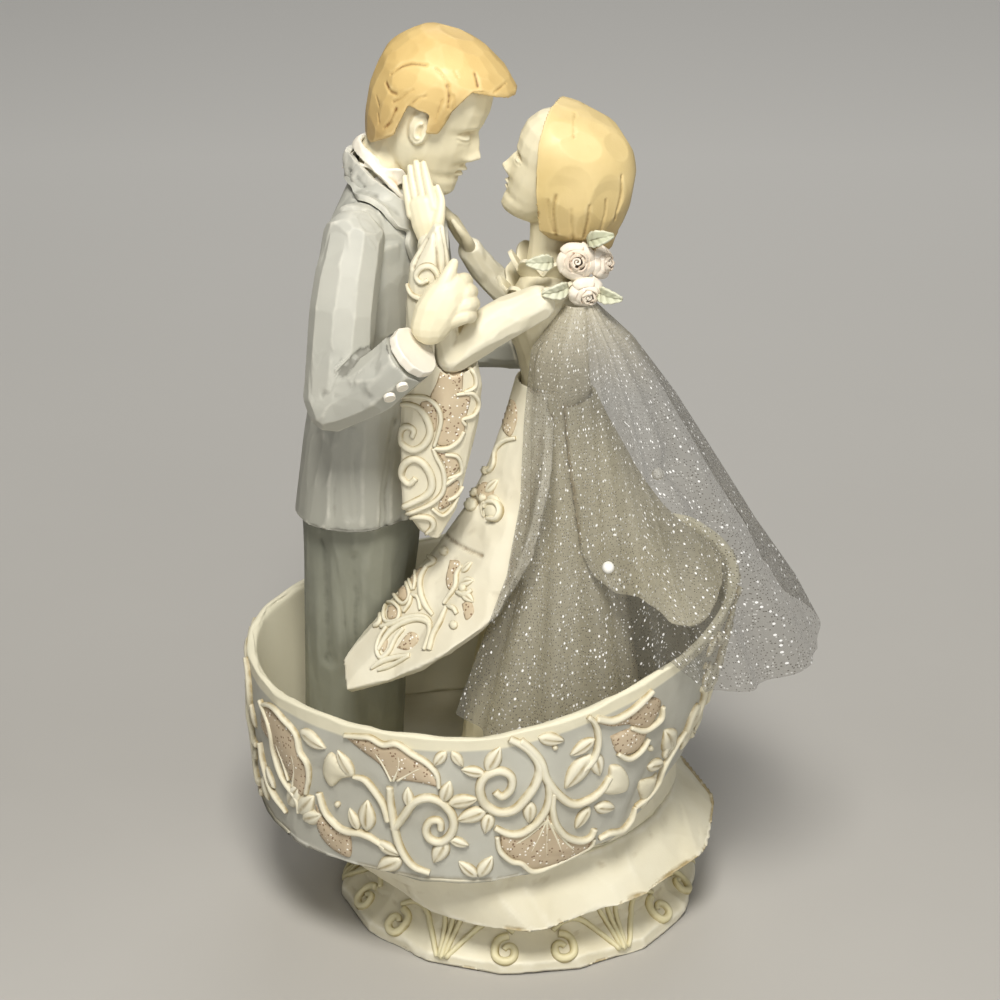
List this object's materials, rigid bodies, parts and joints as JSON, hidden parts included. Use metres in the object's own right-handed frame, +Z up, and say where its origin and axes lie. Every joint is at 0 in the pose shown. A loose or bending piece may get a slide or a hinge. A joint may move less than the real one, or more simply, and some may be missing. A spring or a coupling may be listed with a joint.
{
  "type": "wedding cake topper",
  "caption": "Resin bride and groom embracing in a bowl formed by her train, with vine relief, a tiered skirt base, roses and a glitter tulle veil.",
  "frame": {"origin": "centre of the underside, on the felt pad's bottom face", "axes": "+Z up, -Y towards the viewer of the picture, +X to that viewer's right (the bride's side)"},
  "size_m": [0.1336, 0.1046, 0.2122],
  "materials": {
    "felt": "matte felt",
    "gown_cream": "matte painted resin with a brown wash in the grooves",
    "relief_ground": "matte pale grey painted resin",
    "ivory_skin": "matte painted resin",
    "jacket_grey": "matte painted resin, dry-brushed edges",
    "trouser_slate": "matte painted resin",
    "shirt_white": "matte painted resin",
    "blond_hair": "matte painted resin with a brown wash in the grooves",
    "golden_hair": "matte painted resin, knife-cut facets",
    "pearl_white": "pearlescent",
    "leaf_green": "pearlescent pale green",
    "glitter_tulle": "sheer tulle with glitter"
  },
  "bodies": {
    "root": {"felt_pad": "felt", "foot_tier": "gown_cream", "middle_tier": "gown_cream", "train_band": "relief_ground", "groom_trousers": "trouser_slate", "groom_jacket": "jacket_grey", "shirt_front": "shirt_white", "jacket_collar": "jacket_grey", "groom_head": "ivory_skin", "shirt_collar": "shirt_white", "groom_hair": "blond_hair", "right_sleeve": "jacket_grey", "left_sleeve": "jacket_grey", "right_shirt_cuff": "shirt_white", "left_shirt_cuff": "shirt_white", "cuff_button_1": "shirt_white", "cuff_button_2": "shirt_white", "underskirt": "gown_cream", "bodice": "gown_cream", "neckline_ruffle": "gown_cream", "overskirt": "relief_ground", "train_fall": "gown_cream", "bride_head": "ivory_skin", "bride_hair": "golden_hair", "bride_left_arm": "gown_cream", "bride_right_arm": "gown_cream", "bell_sleeve": "relief_ground", "bride_left_hand": "ivory_skin", "bride_right_hand": "ivory_skin", "groom_right_hand": "ivory_skin", "groom_left_hand": "ivory_skin", "veil": "glitter_tulle", "veil_pearl_1": "pearl_white", "veil_pearl_2": "pearl_white", "rose_large": "pearl_white", "rose_right": "pearl_white", "rose_low": "pearl_white", "leaf_upper_left": "leaf_green", "leaf_lower_left": "leaf_green", "leaf_top": "leaf_green", "leaf_right": "leaf_green"}
  },
  "joints": []
}
